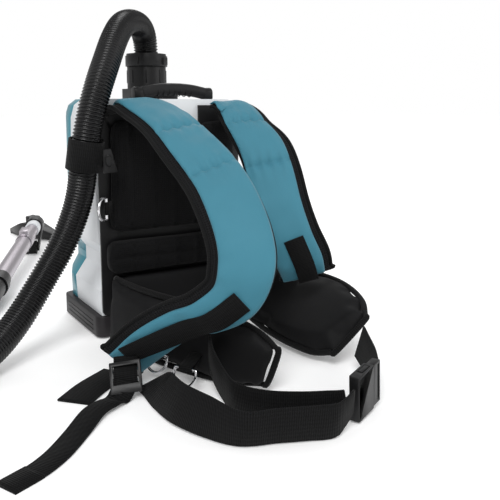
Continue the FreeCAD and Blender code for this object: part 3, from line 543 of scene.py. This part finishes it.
def strap_layers(name, stations, seams, edge_side, node):
    """A strap's black mesh underpad and its teal quilted cover, sewn down at the seams.

    Each seam is given as its share of the strap's length.
    """
    def under(s, total, half):
        end = min(1.0, math.sqrt(max(0.0, min(s, total - s)) / 0.010) * 0.6 + 0.4)
        return rounded(half, -UNDERPAD_DROP * end, 0.0010 * end)

    pad = strip(name + "_underpad", stations, 0.006, under)
    dress(pad, "black_mesh", node)

    def cover(s, total, half):
        pinch = 1.0
        for at in seams:
            pinch = min(pinch, 1 - SEAM_DEPTH * math.exp(-abs(s - at * total) / SEAM_REACH))
        end = min(1.0, math.sqrt(max(0.0, min(s, total - s)) / 0.020) * 0.75 + 0.25)
        low = 0.0002
        high = low + COVER_RISE * pinch * end
        centre = edge_side * -BOUND_EDGE / 2
        wide = half - BOUND_EDGE / 2 - 0.0005
        ring = []
        for a, b in rounded(wide, low, high, lean=3.0, count=16):
            pucker = 0.0
            for at in seams:
                near = math.exp(-abs(s - at * total) / PUCKER_REACH)
                pucker += PUCKER_HEIGHT * near * math.cos(a * 2 * math.pi / PUCKER_PITCH + at * 20)
            # long slanting folds, then short creases that grow toward the edges
            slack = 0.0006 * math.sin(s / 0.019 + a * 110) * math.sin(s / 0.0075 - a * 75)
            slack += 0.0005 * math.sin(s / 0.0045 + 9 * math.sin(a * 40)) * (abs(a) / half) ** 2
            ring.append((a + centre, b + (pucker + slack if b > high * 0.4 else 0.0)))
        return ring

    top = strip(name + "_cover", stations, 0.0025, cover)
    dress(top, "teal_fabric", None)
    dress(edging(name + "_edge", stations, 0.0024, -0.0035), "binding", None)


def tube(name, points, radius, around=10):
    """A round cord through points in metres."""
    line, side, other, along = tube_frames(np.array(points, float), max(radius * 0.9, 0.0015))
    angles = np.linspace(0, 2 * math.pi, around, endpoint=False)
    ring = around_line(angles, side, other)
    verts = (line[:, None, :] + ring * radius).reshape(-1, 3)
    girth = radius * np.linspace(0, 2 * math.pi, around + 1)
    uvs = skin_uvs(girth, along) + [((0.0, 0.0),) * around] * 2
    return new_object(name, verts, skin(len(line), around), uvs)


def edging(name, stations, radius, out, inset=0.0012):
    """A bound edge that runs down one side of a strap, round its lower end and back up the other."""
    centre, across, normal, half, _ = frames_along(stations, 0.006)
    rows = half[:, None] - inset
    one = centre - across * rows + normal * out
    two = centre + across * rows + normal * out
    loop = np.vstack([one, two[::-1]])
    soft, _ = smooth_curve(loop.tolist(), 0.004)
    return tube(name, soft, radius)


def flat_section(thickness):
    """The outline of webbing: a flat band whose edges are a little thinner."""
    face, edge = thickness / 2, thickness / 2 * 0.4

    def section(s, total, half):
        inner = half * 0.975
        return [(-half, -edge), (-inner, -face), (inner, -face), (half, -edge),
                (half, edge), (inner, face), (-inner, face), (-half, edge)]
    return section


def webbing_strip(name, stations, thickness, node=None, material="webbing", step=0.004):
    """Webbing through stations, its thickness in millimetres."""
    dress(strip(name, stations, step, flat_section(thickness * MM)), material, node)


WEBBING_LIFT = 9.1
NARROW_W = 25


def lifted(stations, first, last, shift, end):
    """Stations of webbing on a strap's outer face, moved to one side by shift, and the stations after it."""
    rows = []
    for i in range(first, last + 1):
        centre, across, _ = stations[i]
        tangent = Vector(stations[min(i + 1, len(stations) - 1)][0]) - Vector(stations[i - 1][0])
        normal = tangent.normalized().cross(Vector(across).normalized()).normalized()
        place = Vector(centre) + normal * WEBBING_LIFT + Vector(across).normalized() * shift
        rows.append((tuple(place), across, NARROW_W))
    return rows + end


# ---- stuffed pads, in metres ------------------------------------------------------------------------------
PAD_WALL = -0.0704                                  # the back plate's face, which the pads stop at
PAD_CHANNELS = (-0.066, -0.036, -0.006, 0.024, 0.054)
CHANNEL_W = 0.0035
ABOVE_FLOOR = 0.0008


def stuffed(node, material, shrink, pressure, cap, cell=0.005, wall=None, shape=None):
    """A pad blown up from its CAD solid as cloth, each point moving at most cap, then softened."""
    source = frame["nodes"][node]
    mesh = source.data.copy()
    obj = bpy.data.objects.new(node + "_stuffed", mesh)
    bpy.context.scene.collection.objects.link(obj)
    coords = np.array([v.co[:] for v in mesh.vertices])
    low, high = coords.min(0), coords.max(0)
    middle = (low + high) / 2
    scale = 1 - 2 * shrink / (high - low)
    mesh.vertices.foreach_set("co", (middle + (coords - middle) * scale).ravel())
    remesh = obj.modifiers.new("remesh", "REMESH")
    remesh.mode = "VOXEL"
    remesh.voxel_size = cell
    remesh.use_smooth_shade = True
    apply_modifiers(obj)
    inflate(obj, pressure, cap)
    soften = obj.modifiers.new("soften", "SMOOTH")
    soften.iterations = 3
    finer = obj.modifiers.new("finer", "SUBSURF")
    finer.levels = 1
    apply_modifiers(obj)
    coords = np.array([v.co[:] for v in obj.data.vertices])
    normals = np.array([v.normal[:] for v in obj.data.vertices])
    if shape:
        coords = shape(coords, normals)
    coords = np.clip(coords, low - 0.002, high + 0.002)
    if wall is not None:
        coords[:, 1] = np.minimum(coords[:, 1], wall)
    coords[:, 2] = np.maximum(coords[:, 2], ABOVE_FLOOR)
    obj.data.vertices.foreach_set("co", coords.ravel())
    obj.data.polygons.foreach_set("use_smooth", [True] * len(obj.data.polygons))
    obj.data.update()
    dress(obj, material, node)


CLOTH_FRAMES = 20


def inflate(obj, pressure, cap):
    """Blow a closed cloth up for a few frames and keep its shape, each point moved at most cap metres."""
    start = np.array([v.co[:] for v in obj.data.vertices])
    cloth = obj.modifiers.new("cloth", "CLOTH")
    cloth.settings.quality = 5
    cloth.settings.mass = 0.25
    cloth.settings.use_pressure = True
    cloth.settings.uniform_pressure_force = pressure
    cloth.settings.tension_stiffness = 18
    cloth.settings.compression_stiffness = 18
    cloth.settings.bending_stiffness = 1.5
    cloth.settings.effector_weights.gravity = 0.0
    cloth.collision_settings.use_collision = False
    scene = bpy.context.scene
    cloth.point_cache.frame_start = 1
    cloth.point_cache.frame_end = CLOTH_FRAMES
    for number in range(1, CLOTH_FRAMES + 1):
        scene.frame_set(number)
    moved = obj.evaluated_get(bpy.context.evaluated_depsgraph_get()).to_mesh()
    end = np.array([v.co[:] for v in moved.vertices])
    obj.modifiers.clear()
    scene.frame_set(1)
    step = end - start
    size = np.linalg.norm(step, axis=1)
    step *= np.minimum(1.0, cap / np.maximum(size, 1e-9))[:, None]
    obj.data.vertices.foreach_set("co", (start + step).ravel())
    obj.data.update()


def channels(depth, level=()):
    """Sewn channels pressed into the wearer's face of a pad, upright, and level ones at given heights."""
    def shape(coords, normals):
        facing = np.clip(-normals[:, 1], 0, 1)
        for column, places in ((0, PAD_CHANNELS), (2, level)):
            for at in places:
                coords[:, 1] += facing * depth * np.exp(-((coords[:, column] - at) / CHANNEL_W) ** 2)
        return coords
    return shape


# ---- belts and tabs ------------------------------------------------------------------------------
HIP_LEFT = [
    ((-96, -97, 50), (0, 0, 1), 84), ((-90, -135, 46), (0, 0, 1), 88), ((-80, -180, 45), (0, 0, 1), 88),
    ((-64, -224, 44), (0.04, 0, 1), 86), ((-44, -266, 42), (0.06, 0, 1), 82),
    ((-22, -300, 36), (0.06, 0, 1), 68), ((-8, -322, 28), (0.06, 0, 1), 46),
]
HIP_RIGHT = [
    ((98, -98, 54), (0.15, 0, 0.98), 84), ((112, -135, 48), (0.5, 0.1, 0.86), 98),
    ((118, -180, 44), (0.68, 0.2, 0.7), 108), ((120, -230, 42), (0.74, 0.25, 0.62), 112),
    ((117, -275, 38), (0.74, 0.25, 0.62), 96), ((112, -306, 36), (0.72, 0.25, 0.64), 60),
]
BELT_LEAN = (-0.12, -0.2, 0.97)
BELT_W = 38
BELT_UPPER = [
    ((-58, -274, 46), BELT_LEAN, BELT_W), ((-64, -293, 35), BELT_LEAN, BELT_W),
    ((-67, -320, 23), BELT_LEAN, BELT_W), ((-69, -350, 19), BELT_LEAN, BELT_W),
    ((-54, -378, 19), BELT_LEAN, BELT_W), ((-28, -398, 19), BELT_LEAN, BELT_W),
    ((-2, -412, 21), BELT_LEAN, 34), ((11, -418.5, 24), BELT_LEAN, 28),
]
BELT_FRONT = [
    ((12, -427, 27), BELT_LEAN, 28), ((-4, -434, 23), BELT_LEAN, 32),
    ((-18, -436, 19.5), BELT_LEAN, BELT_W), ((-42, -427, 19.5), BELT_LEAN, BELT_W),
    ((-68, -416, 19.5), BELT_LEAN, BELT_W),
    ((-97, -404, 19.5), BELT_LEAN, BELT_W), ((-113, -366, 20.3), (0.2, 0.2, 0.94), BELT_W),
    ((-121, -328, 19.3), (0.45, 0.2, 0.8), BELT_W), ((-118, -290, 15.6), (0.6, 0.3, 0.6), BELT_W),
    ((-112, -262, 11.6), (0.8, 0.3, 0.38), BELT_W), ((-110, -242, 8), (0.9, 0.3, 0.2), BELT_W),
]
BELT_FOLD = [
    ((-128, -184, 1.5), (-0.66, 0.75, 0), BELT_W), ((-165, -208, 1.5), (-0.66, 0.75, 0), BELT_W),
    ((-194, -234, 1.5), (-0.5, 0.86, 0), BELT_W),
]
BELT_RIGHT = [
    ((112, -322, 34), (0.3, 0.1, 0.9), BELT_W), ((98, -348, 32), (0.2, 0.05, 0.95), BELT_W),
    ((84, -374, 30), (0.1, 0, 0.97), BELT_W), ((70, -396, 28), (0, 0, 1), BELT_W),
]
TAIL = [
    ((-142.5, -247, 16.5), R_ACROSS, NARROW_W), ((-148, -251, 8.5), R_ACROSS, NARROW_W),
    ((-155, -254, 3.2), R_ACROSS, NARROW_W), ((-166, -260, 4.4), R_ACROSS, NARROW_W),
    ((-186, -272, 4.4), R_ACROSS, NARROW_W), ((-212, -300, 1.6), R_ACROSS, NARROW_W),
    ((-238, -328, 1.2), (0.75, -0.66, 0), NARROW_W), ((-262, -346, 1.2), (0.62, -0.78, 0), NARROW_W),
    ((-288, -358, 1.2), (0.5, -0.86, 0), NARROW_W),
]


def make_webbing():
    before_lock = ((-135, -228, 37), R_ACROSS, NARROW_W)
    on_left = lifted(LEFT_STRAP, 9, 11, 11, [before_lock])
    webbing_strip("webbing_on_left_strap", on_left, 1.8, "shoulder_webbing_left")
    webbing_strip("webbing_on_right_strap", lifted(RIGHT_STRAP, 7, 9, 0, []), 1.8, "shoulder_webbing_right")
    webbing_strip("threaded_webbing", [before_lock] + threaded(), 1.6)
    webbing_strip("free_tail", TAIL, 1.8, "webbing_tail")
    webbing_strip("tail_fold", TAIL[-2:], 3.4)
    webbing_strip("belt_from_left_pad", BELT_UPPER, 2.4, "belt_upper")
    webbing_strip("belt_run", BELT_FRONT, 2.4, "belt_front")
    webbing_strip("belt_end_fold", BELT_FOLD, 2.4)
    webbing_strip("belt_from_right_pad", BELT_RIGHT, 2.4, "belt_right")


def threaded():
    """Stations down the ladder lock: under its top bar, over the middle one and under the last."""
    middle, down = Vector(LOCK_CENTRE), Vector(LOCK_ALONG).normalized()
    out = down.cross(Vector(R_ACROSS)).normalized()
    out = out if out.z > 0 else -out
    rows = []
    for step, rise in ((-13.0, -3.2), (-9.0, 0.0), (-2.5, 3.3), (4.0, 0.0), (9.0, -3.0)):
        rows.append((tuple(middle + down * step + out * rise), R_ACROSS, NARROW_W))
    return rows


def make_ring_tabs():
    """A tab of narrow webbing looped round each ring's bar; all three stand for one CAD node."""
    round_bar, near, tail = 2.7, 1.4, 1.1
    for name, (centre, bar, back) in RINGS.items():
        c, b, e = Vector(centre), Vector(bar).normalized(), Vector(back)
        n = b.cross(e).normalized()
        out = e.normalized()
        path = [c + e + n * tail, c + e * 0.4 + n * near, c + n * round_bar, c - out * round_bar,
                c - n * round_bar, c + e * 0.4 - n * near, c + e - n * tail]
        webbing_strip(name + "_ring_tab", [(tuple(q), bar, 16) for q in path], 1.2,
                      "ring_loops" if name == "side" else None, step=0.0015)


def make_hose_band():
    """The hook and loop strap round the hose, its last turn lying on the one below."""
    up = Vector((0.11, -0.15, 1)).normalized()
    away = Vector((0.6, 0.75, 0))
    away = (away - up * away.dot(up)).normalized()
    side = up.cross(away)
    centre = Vector(BAND_CENTRE)
    stations = [((-98, -77.6, 243), tuple(up), 36), ((-108, -77.8, 243), tuple(up), 36)]
    for i in range(15):
        angle = math.radians(-20 - i * 27)
        radius = 20.4 if i < 13 else 21.6
        place = centre + (away * math.cos(angle) + side * math.sin(angle)) * radius
        stations.append((tuple(place), tuple(up), 37))
    webbing_strip("hose_strap", stations, 1.6, "hose_band", material="binding", step=0.003)


def block(name, centre, along, across, size, material, edge=0.0008, taper=1.0):
    """A bevelled block centred on a point; size is its length, width and height, in millimetres."""
    a = Vector(along).normalized()
    up = a.cross(Vector(across)).normalized()
    b = up.cross(a).normalized()
    length, width, height = (v * MM / 2 for v in size)
    verts = []
    for u, narrow in ((-1, taper), (1, 1.0)):
        for v, w in ((-1, -1), (1, -1), (1, 1), (-1, 1)):
            corner = a * (u * length) + b * (v * width * narrow) + up * (w * height)
            verts.append(Vector(centre) * MM + corner)
    faces = [(3, 2, 1, 0), (4, 5, 6, 7), (0, 1, 5, 4), (1, 2, 6, 5), (2, 3, 7, 6), (3, 0, 4, 7)]
    obj = new_object(name, verts, faces)
    bevel = obj.modifiers.new("edge", "BEVEL")
    bevel.width = edge
    bevel.segments = 2
    bevel.limit_method = "NONE"
    apply_modifiers(obj)
    sharp_by_angle(obj.data)
    dress(obj, material, None)


def ring_piece(name, centre, axis, across, radii, thick, material):
    """A flat oval ring: radii are its two half sizes to the middle of the rim, in millimetres."""
    n = Vector(axis).normalized()
    a = Vector(across)
    a = (a - n * a.dot(n)).normalized()
    b = n.cross(a)
    points = []
    for i in range(49):
        angle = 2 * math.pi * i / 48
        out = a * math.cos(angle) * radii[0] + b * math.sin(angle) * radii[1]
        points.append(tuple((Vector(centre) + out) * MM))
    dress(tube(name, points, thick * MM), material, None)


def make_snap():
    """The plastic snap that hangs from the hose strap: a tapered plate with an oval eye."""
    along, across = (0.2, 0.2, -1), (0.9, -0.4, 0)
    facing = Vector(along).normalized().cross(Vector(across)).normalized()
    middle = Vector((-104, -112, 236))
    block("snap_plate", middle, along, across, (30, 17, 3.2), "dark_plastic", taper=0.55)
    front = middle + facing * (2.2 if facing.y < 0 else -2.2)
    ring_piece("snap_eye", front, facing, along, (7.5, 4.6), 1.1, "dark_plastic")


def make_ribs():
    """Small moulded features: ribs on the base band, and grip ribs on the collar and the handle."""
    for i in range(3):
        for side in (-1, 1):
            block("base_rib", (side * 109.2, 4, 9.0 + 6.0 * i), (0, 1, 0), (0, 0, 1), (104, 1.2, 1.0),
                  "base_plastic", edge=0.0003)
    for i in range(8):
        angle = math.radians(20 + 45 * i)
        out = Vector((math.cos(angle), math.sin(angle), 0))
        place = Vector((INLET[0], INLET[1], 342)) + out * 27.6
        block("collar_rib", place, (0, 0, 1), (-out.y, out.x, 0), (18, 2.2, 1.2), "dark_plastic", edge=0.0004)
    x, y, z = HANDLE_AT
    for i in range(-3, 4):
        ring_piece("grip_line", (x + 8 * i, y, z - abs(i) * 0.5), (1, 0, 0), (0, 1, 0), (7.9, 7.9), 0.55,
                   "soft_grip")


# ---- everything ----------------------------------------------------------------------------------
# the width of the softened edge of each moulded node, in millimetres
SOFTENED = {
    "main_housing": 1.6, "rear_cover": 1.4, "battery_cover": 1.4, "base_shell": 1.0, "back_plate": 0.8,
    "inlet_collar": 0.9, "hose_lock_ring": 0.7, "handle_lugs": 1.6, "cover_latch": 0.5, "ladder_lock": 0.7,
    "buckle_socket": 1.2, "buckle_prong": 0.9, "buckle_tab_upper": 0.7, "buckle_tab_lower": 0.7,
    "nozzle_head": 1.6, "nozzle_neck": 0.5, "wand_lock_sleeve": 0.6, "wand_lock_button": 0.8,
}


def dress_nodes():
    for item in RECORD["subparts"]:
        node = item["node"]
        material = MATERIALS["base_plastic" if node == "base_shell" else item["material_slot"]]
        if node in SOFTENED:
            refine(node, SOFTENED[node], material)
        else:
            smooth_node(node, material)


STITCH_PITCH = 0.0034
STITCH_LENGTH = 0.0022
STITCH_R = 0.00035


def stitch_line(name, stations, first, last, offset, lift):
    """A row of raised stitches along a strap between two distances, at an offset across it, in metres."""
    centre, across, normal, _, along = frames_along(stations, 0.003)
    verts, faces = [], []
    start = first
    while start + STITCH_LENGTH < min(last, along[-1]):
        base = len(verts)
        for at in (start, start + STITCH_LENGTH):
            place, side, out = (np.array([np.interp(at, along, rows[:, k]) for k in range(3)])
                                for rows in (centre, across, normal))
            place = place + side * offset + out * lift
            for u, v in ((-1, 0), (0, 1), (1, 0), (0, -1)):
                verts.append(place + side * (u * STITCH_R) + out * (v * STITCH_R))
        for k in range(4):
            n = (k + 1) % 4
            faces.append((base + k, base + n, base + 4 + n, base + 4 + k))
        faces += [(base + 3, base + 2, base + 1, base), (base + 4, base + 5, base + 6, base + 7)]
        start += STITCH_PITCH
    dress(new_object(name, verts, faces), "binding", None)


def make_stitches():
    for name, path in (("upper_belt", BELT_UPPER), ("front_belt", BELT_FRONT)):
        for side in (-1, 1):
            stitch_line(name + "_stitch", path, 0.012, 0.030, side * 0.013, 0.0012)


# each one's distance along the tube from its far end, its length and its radius, in millimetres
WAND_TRIM = (
    ("end_collar_trim", -1.5, 26, 14.6, "white_plastic", "sliding_tube"),
    ("tube_mouth_ring", 74.5, 7, 14.8, "wand_metal", ROOT),
)


def make_wand_trim():
    """The white collar at the tube's far end and the grey ring where the tubes slide together."""
    for name, start, length, radius, material, body in WAND_TRIM:
        points = [WAND_END + WAND_DIR * (start + length * t) for t in (0, 0.33, 0.66, 1)]
        obj = tube(name, [tuple(p * MM) for p in points], radius * MM, around=48)
        sharp_by_angle(obj.data)
        dress(obj, material, None, body)


def make_pads():
    stuffed("back_pad", "black_knit", 0.0015, 3.0, 0.005, wall=PAD_WALL, shape=channels(0.0028))
    stuffed("lumbar_pad", "black_knit", 0.0015, 4.0, 0.006, wall=PAD_WALL, shape=channels(0.0026, (0.110,)))
    stuffed("lower_pad", "black_cloth", 0.0015, 3.0, 0.005, wall=PAD_WALL)
    for node in ("hip_pad_left", "hip_pad_right"):
        stuffed(node, "black_cloth", 0.001, 4.0, 0.006)
    stuffed("dust_bag", "filter_paper", 0.003, 3.0, 0.005, cell=0.007)
    for name, stations in (("hip_left", HIP_LEFT), ("hip_right", HIP_RIGHT)):
        dress(edging(name + "_edge", stations, 0.0036, 0.0, inset=0.004), "binding", None)


# each area light's place, what it aims at, its size and its power
LIGHTS = (
    ("key", (-1.2, -1.6, 1.9), (0, -0.1, 0.15), 1.2, 10),
    ("fill", (1.6, -1.4, 1.1), (0, -0.1, 0.15), 1.0, 6),
    ("rim", (0.6, 1.6, 1.5), (0, 0, 0.2), 1.0, 10),
)
SUN_TOWARD = (1.2, 1.5, -2.2)
SKY_LIGHT = 0.60      # what the world gives the object; the camera sees it at 1
FLOOR_Z = -0.0002


def add_lamp(name, kind, toward, power):
    """A light that shines toward a direction; the caller sets its size and place."""
    data = bpy.data.lights.new(name, kind)
    data.energy = power
    lamp = bpy.data.objects.new(name, data)
    lamp.rotation_euler = Vector(toward).to_track_quat("-Z", "Y").to_euler()
    bpy.context.scene.collection.objects.link(lamp)
    return lamp


def stage_set():
    """A plain pale floor under a white sky, a soft sun and three area lights."""
    bpy.ops.mesh.primitive_plane_add(size=30, location=(0, 0, FLOOR_Z))
    floor = bpy.context.object
    floor.name = "floor"
    p = Paint("floor")
    pale = p.mix(p.noise(p.place(), 3.0), rgb(0.95, 0.95, 0.95), rgb(0.97, 0.97, 0.97))
    p.set(Base_Color=pale, Roughness=0.9, Emission_Color=rgb(1, 1, 1), Emission_Strength=0.12)
    set_material(floor, p.material)

    world = bpy.data.worlds.new("studio")
    bpy.context.scene.world = world
    world.use_nodes = True
    tree = world.node_tree
    back = tree.nodes["Background"]
    back.inputs[0].default_value = (1, 1, 1, 1)
    seen = tree.nodes.new("ShaderNodeLightPath")
    level = tree.nodes.new("ShaderNodeMapRange")
    level.inputs["To Min"].default_value = SKY_LIGHT
    level.inputs["To Max"].default_value = 1.0
    tree.links.new(seen.outputs["Is Camera Ray"], level.inputs["Value"])
    tree.links.new(level.outputs[0], back.inputs[1])

    sun = add_lamp("sun", "SUN", SUN_TOWARD, 1.5)
    sun.data.angle = 0.5
    for name, place, aim, size, power in LIGHTS:
        lamp = add_lamp(name, "AREA", Vector(aim) - Vector(place), power)
        lamp.data.size = size
        lamp.location = place
    bpy.context.scene.view_settings.view_transform = "Standard"


add_camera()
make_materials()
dress_nodes()
make_hose()
strap_layers("strap_left", LEFT_STRAP, (0.21, 0.37), -1, "shoulder_strap_left")
strap_layers("strap_right", RIGHT_STRAP, (0.2, 0.45), 1, "shoulder_strap_right")
make_webbing()
make_ring_tabs()
make_hose_band()
make_snap()
make_ribs()
make_stitches()
make_wand_trim()
make_pads()
stage_set()
